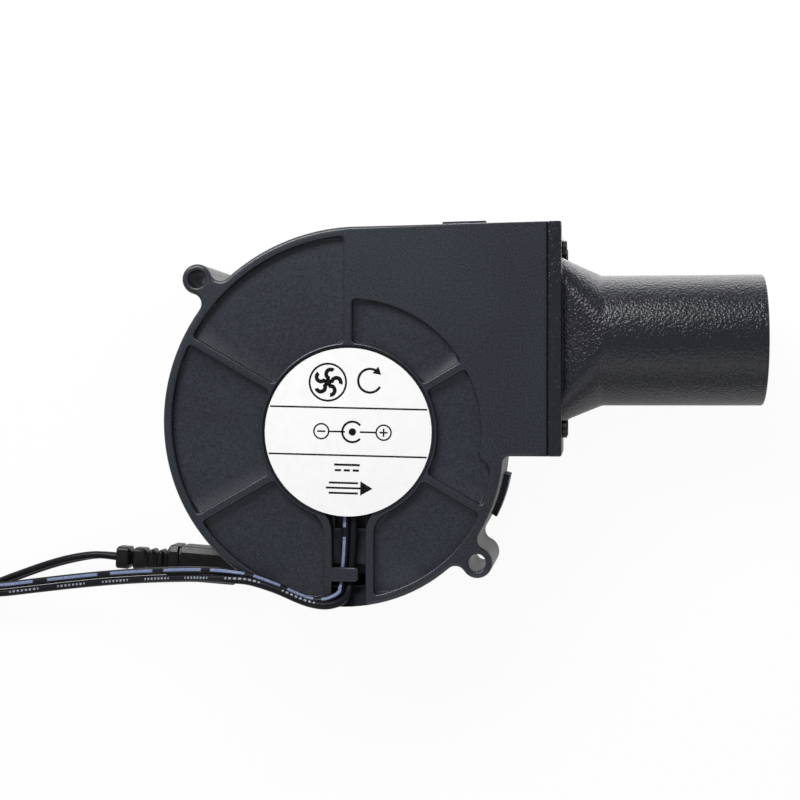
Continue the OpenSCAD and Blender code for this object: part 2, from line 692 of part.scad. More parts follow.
// Split ring that snaps into the shaft's groove
module shaft_clip() {
    split = clip_ring_w * 1.5;
    color("#808286") difference() {
        translate([0, 0, clip_ring_z + end_play / 2])
            ring(shaft_r + clip_ring_w, shaft_r - clip_groove + end_play, clip_ring_t - end_play);
        translate([0, -split / 2, 0]) cube([bearing_r, split, casing_t]);
    }
}

module preload_spring() {
    turns = 3;
    steps = 14; // rings to a turn
    spring_r = shaft_r + spring_off;
    rise = spring_h - spring_wire - 2 * end_play;
    color("#c8cacc") translate([0, 0, bush_end_z + end_play + spring_wire / 2])
        sweep([for (i = [0:turns * steps]) let (p = polar(spring_r, 360 * i / steps))
            [p.x, p.y, rise * i / turns / steps]], spring_wire / 2, 8);
}

module bearing_tube() {
    shoulder = 0.6;
    stop_z = front_bearing_z + bearing_w;
    color("#b5954a") difference() {
        translate([0, 0, tube_z]) cylinder(r = tube_r - seat_gap, h = tube_rear_z - tube_z);
        translate([0, 0, tube_z - over]) cylinder(r = bearing_r, h = bearing_w + over);
        translate([0, 0, stop_z - over]) cylinder(r = bearing_r - shoulder, h = tube_rear_z - stop_z);
        translate([0, 0, rear_bearing_z]) cylinder(r = bearing_r, h = tube_rear_z);
    }
}

// Groove that the balls run in
module ball_track() {
    translate([0, 0, bearing_w / 2]) rotate_extrude() translate([pitch_r, 0]) circle(r = ball_r + ball_gap);
}

module outer_ring(z) {
    color("#c2c4c8") translate([0, 0, z]) difference() {
        ring(bearing_r - seat_gap, bearing_r - race_t, bearing_w);
        ball_track();
    }
}

module inner_ring(z) {
    color("#c2c4c8") translate([0, 0, z]) difference() {
        ring(shaft_r + race_t, shaft_r + seat_gap, bearing_w);
        ball_track();
    }
}

module at_balls(z) {
    translate([0, 0, z + bearing_w / 2])
        for (i = [0:ball_count - 1]) rotate(360 * i / ball_count) translate([pitch_r, 0, 0]) children();
}

module balls(z) {
    color("#d8dadd") at_balls(z) sphere(r = ball_r);
}

module cage(z) {
    color("#a08a55") difference() {
        translate([0, 0, z + (bearing_w - cage_h) / 2])
            ring(pitch_r + cage_t / 2, pitch_r - cage_t / 2, cage_h);
        at_balls(z) rotate([0, 90, 0]) cylinder(r = ball_r + ball_gap, h = cage_t + 2 * over, center = true);
    }
}

module front_bearing_outer_ring() { outer_ring(front_bearing_z); }
module front_bearing_inner_ring() { inner_ring(front_bearing_z); }
module front_bearing_balls() { balls(front_bearing_z); }
module front_bearing_cage() { cage(front_bearing_z); }
module rear_bearing_outer_ring() { outer_ring(rear_bearing_z); }
module rear_bearing_inner_ring() { inner_ring(rear_bearing_z); }
module rear_bearing_balls() { balls(rear_bearing_z); }
module rear_bearing_cage() { cage(rear_bearing_z); }

// Cross of four arms with pole shoes
module core_shape(arm_w, r_out, shoe) {
    difference() {
        union() {
            circle(r = tube_r + core_hub);
            for (a = [0, 90]) rotate(a) square([2 * r_out - shoe, arm_w], center = true);
            difference() {
                circle(r = r_out);
                circle(r = r_out - shoe);
                for (a = [45, 135]) rotate(a) square([3 * r_out, shoe_gap], center = true);
            }
        }
        circle(r = tube_r + seat_gap);
    }
}

module stator_core() {
    color("#7d8085") translate([0, 0, core_z]) linear_extrude(core_t) core_shape(core_arm_w, core_r, shoe_t);
}

// Plate on one end of the core, with a collar along the bearing tube
module insulator(collar_h) {
    linear_extrude(end_plate_t) core_shape(core_arm_w + 2 * end_plate_side, core_r - end_plate_side, shoe_t);
    linear_extrude(guard_h) intersection() {
        core_shape(core_arm_w, core_r - guard_inset, guard_t);
        difference() {
            circle(r = core_r);
            circle(r = core_r - guard_inset - guard_t);
        }
    }
    ring(tube_r + collar_wall, tube_r + seat_gap, collar_h);
}

module front_insulator() {
    color("#e6e2d4") translate([0, 0, core_z]) mirror([0, 0, 1]) insulator(core_z - tube_z);
}

module rear_insulator() {
    color("#e6e2d4") translate([0, 0, core_rear_z]) insulator(board_z - core_rear_z);
}

module stator_coils() {
    in_w = core_arm_w + 2 * end_plate_side + coil_slack;
    in_h = core_t + 2 * end_plate_t + coil_slack;
    color("#b5652a") translate([0, 0, core_z + core_t / 2]) for (a = [0:90:270]) rotate(a)
        translate([(coil_in_r + coil_out_r) / 2, 0, 0]) difference() {
            cube([coil_out_r - coil_in_r, in_w + 2 * coil_t, in_h + 2 * coil_t], center = true);
            cube([coil_out_r, in_w, in_h], center = true);
        }
}

module circuit_board() {
    color("#2f6b3c") translate([0, 0, board_z]) ring(board_d / 2, tube_r + board_play, board_t);
}

// Part on the board's motor side: its middle, turned to an angle, and its size
module board_part(r, a, size) {
    rotate(a) translate([r, 0, board_z - size.z / 2]) cube(size, center = true);
}

module driver_chip() { color("#1c1c1e") board_part(chip_r, 45, chip_size); }
module hall_sensor() { color("#1c1c1e") board_part(sensor_r, 135, sensor_size); }
module chip_parts() {
    color("#8a7a60") for (i = [0:4]) board_part(chip_r, 205 + 16 * i, small_part_size);
}

module striped_wire() { color("#1e1f26") sweep(beside(lead_route, wire_off), wire_r, 8); }
module plain_wire() { color("#17171a") sweep(beside(lead_route, -wire_off), wire_r, 8); }

// Places what is drawn along +Z on the connector's own axis
module on_connector() {
    translate(connector_spot) rotate([0, 0, connector_deg]) rotate([0, 90, 0]) children();
}

// Square bar with chamfered edges; in is the inset from the body's faces
module squared(in, h) {
    a = connector_w / 2 - in;
    b = a - connector_chamfer;
    linear_extrude(h) polygon([[a, b], [b, a], [-b, a], [-a, b], [-a, -b], [-b, -a], [b, -a], [a, -b]]);
}

module connector_grip() {
    collar_end = grip_l - collar_neck[0];
    ridges = [for (i = [0:ridge_count - 1]) let (z = first_ridge + i * ridge_pitch, top = z + ridge_pitch / 3,
        low = cable_end_r - ridge_groove)
        each [[cable_end_r, z], [low, z], [low, top], [cable_end_r, top]]];
    color("#141416") on_connector() {
        rotate_extrude() polygon(concat([[0, 0], [cable_end_r, 0]], ridges,
            [[cable_end_r, collar_end - collar_l], [connector_w / 2 - collar_neck[1], collar_end - collar_l / 2],
            [0, collar_end - collar_l / 2]]));
        translate([0, 0, collar_end - collar_l]) squared(0, collar_l);
        translate([0, 0, collar_end - over]) squared(collar_neck[1], collar_neck[0] + over);
    }
}

module connector_shell() {
    color("#161618") on_connector() translate([0, 0, grip_l]) difference() {
        squared(0, shell_l);
        translate([0, 0, shell_l - socket_depth])
            cylinder(d = socket_d + 2 * sleeve_t, h = socket_depth + over);
        translate([0, 0, over]) cylinder(d = pin_d, h = shell_l);
    }
}

module connector_sleeve() {
    color("#b9bcc0") on_connector() translate([0, 0, grip_l + shell_l - socket_depth])
        ring(socket_d / 2 + sleeve_t - seat_gap, socket_d / 2, socket_depth - sleeve_inset);
}

module connector_pin() {
    pin_l = shell_l - over - pin_inset;
    color("#c9b26a") on_connector() translate([0, 0, grip_l + over]) {
        cylinder(d = pin_d - 2 * seat_gap, h = pin_l - pin_d / 2);
        translate([0, 0, pin_l - pin_d / 2]) sphere(d = pin_d - 2 * seat_gap);
    }
}

rear_casing();
inlet_cover();
label();
outlet_nozzle();
nozzle_screws();
impeller();
rotor_yoke();
magnet_ring();
hub_bush();
shaft();
shaft_clip();
preload_spring();
bearing_tube();
front_bearing_outer_ring();
front_bearing_inner_ring();
front_bearing_balls();
front_bearing_cage();
rear_bearing_outer_ring();
rear_bearing_inner_ring();
rear_bearing_balls();
rear_bearing_cage();
stator_core();
front_insulator();
rear_insulator();
stator_coils();
circuit_board();
driver_chip();
hall_sensor();
chip_parts();
striped_wire();
plain_wire();
connector_grip();
connector_shell();
connector_sleeve();
connector_pin();
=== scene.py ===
import json
import math

import bmesh
import bpy
from mathutils import Matrix, Vector


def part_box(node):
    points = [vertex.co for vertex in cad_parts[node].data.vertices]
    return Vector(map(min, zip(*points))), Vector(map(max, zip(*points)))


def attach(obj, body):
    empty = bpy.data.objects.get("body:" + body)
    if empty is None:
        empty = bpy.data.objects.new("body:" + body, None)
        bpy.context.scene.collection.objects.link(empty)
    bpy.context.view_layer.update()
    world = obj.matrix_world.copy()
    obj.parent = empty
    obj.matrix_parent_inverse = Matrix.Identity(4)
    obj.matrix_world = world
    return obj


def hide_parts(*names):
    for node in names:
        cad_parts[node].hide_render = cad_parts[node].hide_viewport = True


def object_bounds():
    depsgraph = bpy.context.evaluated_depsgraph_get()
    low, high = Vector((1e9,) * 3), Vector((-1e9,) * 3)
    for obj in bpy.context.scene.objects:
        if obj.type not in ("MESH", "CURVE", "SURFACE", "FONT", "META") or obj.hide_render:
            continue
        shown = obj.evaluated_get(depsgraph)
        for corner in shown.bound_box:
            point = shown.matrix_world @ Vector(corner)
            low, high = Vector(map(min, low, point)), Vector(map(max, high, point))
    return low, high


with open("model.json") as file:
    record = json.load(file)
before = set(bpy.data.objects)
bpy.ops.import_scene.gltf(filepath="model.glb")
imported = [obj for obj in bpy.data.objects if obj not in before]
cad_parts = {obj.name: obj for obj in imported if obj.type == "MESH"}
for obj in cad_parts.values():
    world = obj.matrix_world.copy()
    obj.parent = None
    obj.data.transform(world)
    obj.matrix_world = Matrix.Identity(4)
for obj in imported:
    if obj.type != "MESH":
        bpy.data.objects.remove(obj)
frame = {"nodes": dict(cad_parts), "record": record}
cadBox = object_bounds()
nodes = frame["nodes"]
mm = 0.001
scene = bpy.context.scene
scene.view_settings.view_transform = "Standard"

# Camera: above the label, leaning a little from the nozzle's side
cameraSet = {"place": (0.06011, 0.00818, 0.43298), "leanDeg": 6.66, "lens": 71.64, "sensor": 36,
             "clip": 0.01}
lens = bpy.data.cameras.new("camera")
lens.lens = cameraSet["lens"]
lens.sensor_fit = "HORIZONTAL"
lens.sensor_width = cameraSet["sensor"]
lens.clip_start = cameraSet["clip"]
eye = bpy.data.objects.new("camera", lens)
eye.location = cameraSet["place"]
eye.rotation_euler = (0, math.radians(cameraSet["leanDeg"]), 0)
scene.collection.objects.link(eye)
scene.camera = eye
print("camera set")


# Materials
def linear(hexCode):
    parts = [int(hexCode[i:i + 2], 16) / 255 for i in (1, 3, 5)]
    return [p / 12.92 if p <= 0.04045 else ((p + 0.055) / 1.055) ** 2.4 for p in parts] + [1]


def perMm(size):  # texture scale that gives a grain of this many millimetres
    return 1 / (size * mm)


def addNode(tree, kind, inputs=None, **settings):
    node = tree.nodes.new("ShaderNode" + kind)
    for name, value in settings.items():
        setattr(node, name, value)
    for socket, value in (inputs or {}).items():
        if isinstance(value, bpy.types.NodeSocket):
            tree.links.new(value, node.inputs[socket])
        else:
            node.inputs[socket].default_value = value
    return node


def startFinish(name, **sockets):  # a material with one shader, its constants set on the shader
    material = bpy.data.materials.new(name)
    material.use_nodes = True
    tree = material.node_tree
    tree.nodes.clear()
    shader = addNode(tree, "BsdfPrincipled", {k.replace("_", " "): v for k, v in sockets.items()})
    addNode(tree, "OutputMaterial", {"Surface": shader.outputs[0]})
    place = addNode(tree, "TexCoord").outputs["Object"]
    return material, tree, shader, place


def plugIn(tree, shader, tone, gloss, height):
    tree.links.new(tone, shader.inputs["Base Color"])
    tree.links.new(gloss, shader.inputs["Roughness"])
    tree.links.new(height, shader.inputs["Normal"])


noiseSpan = {1: 0.3, 2: 0.7}  # where most of a noise texture's values lie
grainSpan = {1: 0.32, 2: 0.68}  # narrower, so that both tones come out full
toneDrift = 0.18


def grained(name, dark, light, grain, bump, rough, cloud=30, **sockets):
    # Two tones in a fine grain, a slow drift of tone, and roughness and height from the same grain
    material, tree, shader, place = startFinish(name, **sockets)
    fine = addNode(tree, "TexNoise", {"Vector": place, "Scale": perMm(grain), "Detail": 3,
                                      "Roughness": 0.6})
    slow = addNode(tree, "TexNoise", {"Vector": place, "Scale": perMm(cloud), "Detail": 2})
    spread = addNode(tree, "MapRange", {"Value": fine.outputs[0], **grainSpan})
    drift = addNode(tree, "MapRange", {"Value": slow.outputs[0], **noiseSpan, 3: -toneDrift, 4: toneDrift})
    both = addNode(tree, "Math", {0: spread.outputs[0], 1: drift.outputs[0]}, operation="ADD",
                   use_clamp=True)
    tone = addNode(tree, "Mix", {0: both.outputs[0], 6: linear(dark), 7: linear(light)}, data_type="RGBA")
    gloss = addNode(tree, "MapRange", {"Value": fine.outputs[0], **noiseSpan, 3: rough[0], 4: rough[1]})
    height = addNode(tree, "Bump", {"Height": fine.outputs[0], "Strength": 0.5, "Distance": bump * mm})
    plugIn(tree, shader, tone.outputs[2], gloss.outputs[0], height.outputs[0])
    return material


# Glass-filled PBT off a spark-eroded mould: a dull charcoal with a fine speckle and a faint blue
casingPlastic = grained("moulded_pbt_spark_texture", "#1d2028", "#2f333d", 0.5, 0.05, (0.4, 0.56),
                        IOR=1.5, Specular_IOR_Level=0.3)
# The same plastic on the walls that slid along the steel: smooth, so it mirrors pale light at a low angle
wallPlastic = grained("moulded_pbt_drawn_wall", "#121317", "#1a1c21", 1.6, 0.01, (0.22, 0.32), IOR=1.5,
                      Specular_IOR_Level=0.4)
# The same plastic on the mould's rounded edges: rubbed a little shiny, so they show as thin pale lines
edgePlastic = grained("moulded_pbt_rubbed_edge", "#1c1f26", "#282c34", 0.8, 0.01, (0.26, 0.36), IOR=1.5)
# The same plastic on the few slopes: blasted steel leaves them matt, and their darker tone is painted
# shade, so they stay dark in raking light
slopeShadePlastic = grained("moulded_pbt_matt_slope_painted_shade", "#16181d", "#1e2127", 0.6, 0.05, (0.7, 0.84), IOR=1.5,
                       Specular_IOR_Level=0.1)
# The same plastic in the screw ears' bores: drawn off polished core pins
borePlastic = grained("moulded_pbt_polished_bore", "#121317", "#1a1c21", 1.6, 0.005, (0.05, 0.09), IOR=1.5)
# Smooth moulded PBT of the wheel: black with a soft sheen and faint flow marks
impellerPlastic = grained("moulded_pbt_smooth", "#17181a", "#212225", 2.5, 0.02, (0.38, 0.5), IOR=1.5)
# Soft PVC over the connector: black, smooth from a polished mould, with a slight orange peel
connectorPvc = grained("moulded_soft_pvc", "#08080a", "#101013", 1.2, 0.02, (0.3, 0.4), IOR=1.53,
                       Specular_IOR_Level=0.35)
# Nylon bobbin plates: cream and waxy, with slow tone drift
insulatorNylon = grained("moulded_nylon", "#cfc8b4", "#dfd9c8", 1.8, 0.03, (0.4, 0.52), IOR=1.53)
# Epoxy chip bodies: matt black with a sandy surface
chipEpoxy = grained("moulded_epoxy", "#141415", "#202022", 0.3, 0.02, (0.5, 0.66), IOR=1.55)
# Sintered ferrite: dark grey and stony, with pores
ferriteStone = grained("sintered_ferrite", "#262322", "#383533", 0.4, 0.05, (0.55, 0.72), IOR=1.9)
# Black-oxide steel screws: dark metal with a rubbed, oily sheen
oxideSteel = grained("black_oxide_steel", "#2a2b2d", "#46474a", 0.7, 0.02, (0.3, 0.48), Metallic=1.0)
# Zinc-plated deep-drawn steel: pale grey metal with faint draw marks
zincSteel = grained("zinc_plated_steel", "#8d9094", "#a9acb0", 1.4, 0.02, (0.26, 0.4), Metallic=1.0)
# Turned brass: warm yellow metal, a little dull from handling
turnedBrass = grained("turned_brass", "#a98642", "#c2a05a", 0.9, 0.015, (0.22, 0.36), Metallic=1.0)
# Ground bearing steel: bright and smooth
groundSteel = grained("ground_bearing_steel", "#b4b7bb", "#c9ccd0", 0.8, 0.01, (0.12, 0.22), Metallic=1.0)
# Nickel-plated contacts: bright, with a light haze
nickelPlate = grained("nickel_plated_contact", "#aeb0ae", "#c6c8c4", 0.8, 0.01, (0.16, 0.28), Metallic=1.0)
# Screen-print ink on the label: dense black, slightly satin
printInk = grained("screen_print_ink", "#060607", "#0c0c0d", 0.5, 0.004, (0.4, 0.5), IOR=1.5,
                   Specular_IOR_Level=0.2)
# Satin vinyl label: clean white with a barely uneven film
labelVinyl = grained("satin_vinyl", "#f8f8f8", "#fcfcfc", 3.0, 0.004, (0.36, 0.44), IOR=1.46)
print("plain finishes made")

# ABS off a mould with a leather grain: low pebbles and creases that break the light into small glints
leatherSet = {"pebble": 0.6, "grain": 0.7, "cloud": 4, "sway": 1.4, "bend": 0.5, "relief": 0.165}  # in mm
nozzlePlastic, tree, shader, place = startFinish("moulded_abs_leather_grain", IOR=1.5)
sway = addNode(tree, "TexNoise", {"Vector": place, "Scale": perMm(leatherSet["sway"]), "Detail": 2})
bent = addNode(tree, "VectorMath", {0: sway.outputs[1], "Scale": leatherSet["bend"] * mm},
               operation="SCALE")
bent = addNode(tree, "VectorMath", {0: place, 1: bent.outputs[0]}, operation="ADD")
pebbles = addNode(tree, "TexVoronoi", {"Vector": bent.outputs[0], "Scale": perMm(leatherSet["pebble"])},
                  feature="SMOOTH_F1")
fine = addNode(tree, "TexNoise", {"Vector": place, "Scale": perMm(leatherSet["grain"]), "Detail": 3,
                                  "Roughness": 0.6})
slow = addNode(tree, "TexNoise", {"Vector": place, "Scale": perMm(leatherSet["cloud"]), "Detail": 3})
dome = addNode(tree, "MapRange", {"Value": pebbles.outputs[0], 1: 0.1, 2: 0.65, 3: 0.6, 4: 0})
relief = addNode(tree, "Math", {0: dome.outputs[0], 1: fine.outputs[0]}, operation="ADD")
tone = addNode(tree, "Mix", {0: dome.outputs[0], 6: linear("#12141c"), 7: linear("#1a1d28")},
               data_type="RGBA")
gloss = addNode(tree, "MapRange", {"Value": slow.outputs[0], **noiseSpan, 3: 0.16, 4: 0.26})
height = addNode(tree, "Bump", {"Height": relief.outputs[0], "Strength": 0.85,
                                "Distance": leatherSet["relief"] * mm})
plugIn(tree, shader, tone.outputs[2], gloss.outputs[0], height.outputs[0])

waveRate = 20 / (2 * math.pi)  # waves per unit in a wave texture of scale 1
# Enamelled magnet wire: copper-orange turns 0.4 mm apart, lacquered
copperTurns, tree, shader, place = startFinish("enamelled_copper_wire", Metallic=1.0, Coat_Weight=0.4)
turns = addNode(tree, "TexWave", {"Vector": place, "Scale": perMm(0.4) / waveRate, "Distortion": 1.2,
                                  "Detail": 1}, wave_type="RINGS", rings_direction="Z")
tone = addNode(tree, "Mix", {0: turns.outputs[1], 6: linear("#7a3d18"), 7: linear("#b8662c")},
               data_type="RGBA")
height = addNode(tree, "Bump", {"Height": turns.outputs[1], "Strength": 0.8, "Distance": 0.1 * mm})
gloss = addNode(tree, "MapRange", {"Value": turns.outputs[1], 3: 0.42, 4: 0.26})
plugIn(tree, shader, tone.outputs[2], gloss.outputs[0], height.outputs[0])

# Stacked silicon-steel sheets 0.5 mm thick: grey edges in even bands across the axis
sheetStack, tree, shader, place = startFinish("stacked_silicon_steel", Metallic=1.0)
bands = addNode(tree, "TexWave", {"Vector": place, "Scale": perMm(0.5) / waveRate, "Distortion": 0.3},
                bands_direction="Z")
tone = addNode(tree, "Mix", {0: bands.outputs[1], 6: linear("#4f5256"), 7: linear("#85898e")},
               data_type="RGBA")
height = addNode(tree, "Bump", {"Height": bands.outputs[1], "Strength": 0.6, "Distance": 0.05 * mm})
gloss = addNode(tree, "MapRange", {"Value": bands.outputs[1], 3: 0.55, 4: 0.36})
plugIn(tree, shader, tone.outputs[2], gloss.outputs[0], height.outputs[0])

# Glass-epoxy board under green solder mask: the weave shows through faintly, with paler tracks
boardLaminate, tree, shader, place = startFinish("glass_epoxy_board", Coat_Weight=0.5, IOR=1.5)
weave = addNode(tree, "TexChecker", {"Vector": place, "Scale": perMm(0.8)})
tracks = addNode(tree, "TexVoronoi", {"Vector": place, "Scale": perMm(4)}, feature="DISTANCE_TO_EDGE")
line = addNode(tree, "MapRange", {"Value": tracks.outputs[0], 1: 0.06, 2: 0.09, 3: 1, 4: 0})
cloth = addNode(tree, "Mix", {0: weave.outputs[1], 6: linear("#1d4f2b"), 7: linear("#225832")},
                data_type="RGBA")
tone = addNode(tree, "Mix", {0: line.outputs[0], 6: cloth.outputs[2], 7: linear("#2f7344")},
               data_type="RGBA")
height = addNode(tree, "Bump", {"Height": line.outputs[0], "Strength": 0.5, "Distance": 0.03 * mm})
gloss = addNode(tree, "MapRange", {"Value": line.outputs[0], 3: 0.38, 4: 0.3})
plugIn(tree, shader, tone.outputs[2], gloss.outputs[0], height.outputs[0])
print("patterned finishes made")


# PVC wire insulation: black with a soft shine from extrusion, and a print that runs along the lead
def wireFinish(name, mark):
    endFade, sideFade = 0.01, 0.012  # soft ends and sides of the print
    material, tree, shader, place = startFinish(name, IOR=1.53, Specular_IOR_Level=0.16)
    fine = addNode(tree, "TexNoise", {"Vector": place, "Scale": perMm(0.8), "Detail": 2})
    skin = addNode(tree, "Mix", {0: fine.outputs[0], 6: linear("#101014"), 7: linear("#191a20")},
                   data_type="RGBA")
    split = addNode(tree, "SeparateXYZ", {0: addNode(tree, "UVMap", uv_map="lead").outputs[0]})
    mask = None
    for rate, start, end in mark["runs"]:  # the share of each cycle that is printed
        pace = addNode(tree, "Math", {0: split.outputs[0], 1: rate}, operation="MULTIPLY")
        cycle = addNode(tree, "Math", {0: pace.outputs[0]}, operation="FRACT")
        early = addNode(tree, "MapRange", {"Value": cycle.outputs[0],
                                           1: start - endFade, 2: start + endFade})
        late = addNode(tree, "MapRange", {"Value": cycle.outputs[0],
                                          1: end - endFade, 2: end + endFade, 3: 1, 4: 0})
        run = addNode(tree, "Math", {0: early.outputs[0], 1: late.outputs[0]},
                      operation="MULTIPLY").outputs[0]
        if mask:
            run = addNode(tree, "Math", {0: mask, 1: run}, operation="MULTIPLY").outputs[0]
        mask = run
    away = addNode(tree, "Math", {0: split.outputs[1], 1: mark["turn"]}, operation="SUBTRACT")
    away = addNode(tree, "Math", {0: away.outputs[0]}, operation="ABSOLUTE")
    side = addNode(tree, "MapRange", {"Value": away.outputs[0], 1: mark["half"] - sideFade,
                                      2: mark["half"] + sideFade, 3: 1, 4: 0})
    mask = addNode(tree, "Math", {0: mask, 1: side.outputs[0]}, operation="MULTIPLY").outputs[0]
    paint = addNode(tree, "Mix", {0: fine.outputs[0], 6: linear(mark["dark"]), 7: linear(mark["light"])},
                    data_type="RGBA")
    tone = addNode(tree, "Mix", {0: mask, 6: skin.outputs[2], 7: paint.outputs[2]}, data_type="RGBA")
    gloss = addNode(tree, "MapRange", {"Value": fine.outputs[0], **noiseSpan, 3: 0.26, 4: 0.36})
    height = addNode(tree, "Bump", {"Height": fine.outputs[0], "Strength": 0.3, "Distance": 0.02 * mm})
    plugIn(tree, shader, tone.outputs[2], gloss.outputs[0], height.outputs[0])
    return material


# Slate-blue dashes mark one conductor, and the other has groups of small pale ticks
# turn and half: middle and half width of the print, in turns round the conductor
stripedPvc = wireFinish("extruded_pvc_dashed", {
    "runs": [(1, 0.11, 0.89)], "turn": 0.21, "half": 0.066, "dark": "#5a6788", "light": "#8a97b6"})
plainPvc = wireFinish("extruded_pvc_ticked", {
    "runs": [(1, 0.2, 0.8), (12, 0.2, 0.75)], "turn": 0.22, "half": 0.045,
    "dark": "#70747e", "light": "#a4a8b2"})


# Pieces
flatRise = 0.9999  # upright share of the normal from which a face is level


def finishPiece(bm, name, materials, replaced=(), body="housing", angleDeg=40):
    mesh = bpy.data.meshes.new(name)
    bm.to_mesh(mesh)
    bm.free()
    for material in materials:
        mesh.materials.append(material)
    mesh.polygons.foreach_set("use_smooth", [abs(p.normal.z) < flatRise for p in mesh.polygons])
    mesh.set_sharp_from_angle(angle=math.radians(angleDeg))
    piece = bpy.data.objects.new(name, mesh)
    scene.collection.objects.link(piece)
    flats = piece.modifiers.new("flat faces stay flat", "WEIGHTED_NORMAL")
    flats.mode = "FACE_AREA"
    flats.weight = 80
    flats.keep_sharp = True
    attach(piece, body)
    if replaced:
        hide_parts(*replaced)
    return piece


def extrudeRing(bm, edges):  # the next ring of a tube: its vertices and edges
    grown = bmesh.ops.extrude_edge_only(bm, edges=edges)["geom"]
    ring = [g for g in grown if isinstance(g, bmesh.types.BMVert)]
    made = set(ring)
    return ring, [g for g in grown if isinstance(g, bmesh.types.BMEdge) and made.issuperset(g.verts)]


# Twin lead: the middle of the pair in mm, and its roll in degrees
leadSet = {
    "diameter": 2.0, "apart": 2.06, "sides": 20, "steps": 5,
    "gaps": [-1.5, 9.7, 20.8, 32.5, 41.7, 51.0, 63.4, 81.1, 100.5, 121.6],  # between the dashes, mm along
    "gapsOn": 21, "dashesOn": 5,  # mm to each later gap, and the dashes that are left there
    "tickGroup": 15, "ticks": (33, 183),  # mm from group to group, start and end of the ticks
    "printRoll": 0.35,  # share of the pair's roll that the print turns with
    "route": [
        (0.2, -16, 28.95, 0), (0.2, -19.5, 29.6, 0), (0.2, -23, 30.3, 0), (0.2, -27, 30.6, 0),
        (0, -31, 30.6, 0), (-0.3, -34.5, 30.5, 0), (-0.6, -38, 30.55, 0), (-0.8, -40, 31.7, 0),
        (-1.2, -41.4, 33.3, -12), (-2.8, -42.5, 34.6, -34), (-5.4, -43.2, 35.1, -58),
        (-8.6, -43, 35.2, -72), (-12, -42, 35.2, -76), (-18, -39.5, 35.2, -74),
        (-24.5, -37.4, 35.2, -62), (-29.5, -36.8, 34.9, -44), (-35.5, -36.8, 31.8, -22),
        (-43.5, -37.3, 26.5, -6), (-55.5, -38.5, 19.6, 0), (-67.5, -39.9, 14, 0),
        (-79.5, -41.5, 9.8, 0), (-91, -43.1, 7.3, 0), (-102, -44.5, 6, 0), (-110.5, -44.6, 5.5, 0),
        (-118.5, -42.6, 4.6, -10), (-127, -39.6, 3, -20), (-136, -37.6, 2, -30), (-145, -39, 1.8, -40),
        (-151.5, -44.5, 1.9, -50), (-152.7, -52.5, 2, -60), (-148.5, -59.5, 2.05, -70),
        (-140.5, -62, 2.1, -80), (-132, -60, 2.1, -90), (-124.5, -55.5, 2.1, -86),
        (-117, -50.1, 2.1, -80), (-110, -46, 2.1, -76), (-103, -42.9, 2.15, -76),
        (-95.5, -40.1, 2.6, -76), (-88.5, -37.7, 3.4, -76), (-81.5, -35.8, 4.4, -76),
        (-74.5, -34.7, 4.75, -82), (-68.2, -35.05, 4.75, -90)]}


def heading(points, i):
    return (points[min(i + 1, len(points) - 1)] - points[max(i - 1, 0)]).normalized()


def rolled(along, roll):  # sideways and up, square to the lead's direction, turned with the pair
    side = along.cross(Vector((0, 0, 1))).normalized()
    up = side.cross(along)
    return math.cos(roll) * side + math.sin(roll) * up, math.cos(roll) * up - math.sin(roll) * side


def wireSpots(shift):  # one conductor's points on a smooth curve, and the pair's roll at each
    middle = [Vector(p[:3]) * mm for p in leadSet["route"]]
    rolls = [math.radians(p[3]) for p in leadSet["route"]]
    spots = [p + shift * mm * rolled(heading(middle, i), rolls[i])[0] for i, p in enumerate(middle)]
    curve, turned = [], []
    for i in range(len(spots) - 1):
        a, b, c, d = spots[max(i - 1, 0)], spots[i], spots[i + 1], spots[min(i + 2, len(spots) - 1)]
        for k in range(leadSet["steps"]):
            t = k / leadSet["steps"]
            curve.append(0.5 * (2 * b + (c - a) * t + (2 * a - 5 * b + 4 * c - d) * t * t
                                + (3 * b - a - 3 * c + d) * t ** 3))
            turned.append(rolls[i] + (rolls[i + 1] - rolls[i]) * t)
    return curve + [spots[-1]], turned + [rolls[-1]]


def dashCount(distance):  # whole numbers fall in the gaps between the dashes
    gaps = leadSet["gaps"]
    for i, (a, b) in enumerate(zip(gaps, gaps[1:])):
        if distance < b:
            return i + (distance - a) / (b - a)
    return len(gaps) - 1 + min((distance - gaps[-1]) / leadSet["gapsOn"], leadSet["dashesOn"])


def tickCount(distance):
    start, end = leadSet["ticks"]
    return (min(max(distance, start), end) - start) / leadSet["tickGroup"]


def wireTube(spots, rolls, count):
    bm = bmesh.new()
    along, around = bm.verts.layers.float.new("along"), bm.verts.layers.float.new("around")
    ring = bmesh.ops.create_circle(bm, segments=leadSet["sides"],
                                   radius=leadSet["diameter"] / 2 * mm)["verts"]
    for v in ring:
        v[around] = (math.atan2(v.co.y, v.co.x) / (2 * math.pi)) % 1
    edges = list({e for v in ring for e in v.link_edges})
    firstEdges, before, distance = edges, Matrix(), 0
    for i, spot in enumerate(spots):
        ahead = heading(spots, i)
        side, up = rolled(ahead, rolls[i] * leadSet["printRoll"])
        now = Matrix.Translation(spot) @ Matrix((side, up, ahead)).transposed().to_4x4()
        if i:
            distance += (spot - spots[i - 1]).length
            ring, edges = extrudeRing(bm, edges)
        bmesh.ops.transform(bm, matrix=now @ before.inverted(), verts=ring)
        for v in ring:
            v[along] = count(distance / mm)
        before = now
    bmesh.ops.edgeloop_fill(bm, edges=firstEdges)
    bmesh.ops.edgeloop_fill(bm, edges=edges)
    bmesh.ops.recalc_face_normals(bm, faces=bm.faces)
    chart = bm.loops.layers.uv.new("lead")
    for f in bm.faces:
        wraps = max(v[around] for v in f.verts) - min(v[around] for v in f.verts) > 0.5
        for loop in f.loops:
            turn = loop.vert[around]
            loop[chart].uv = (loop.vert[along], turn + 1 if wraps and turn < 0.5 else turn)
    return bm


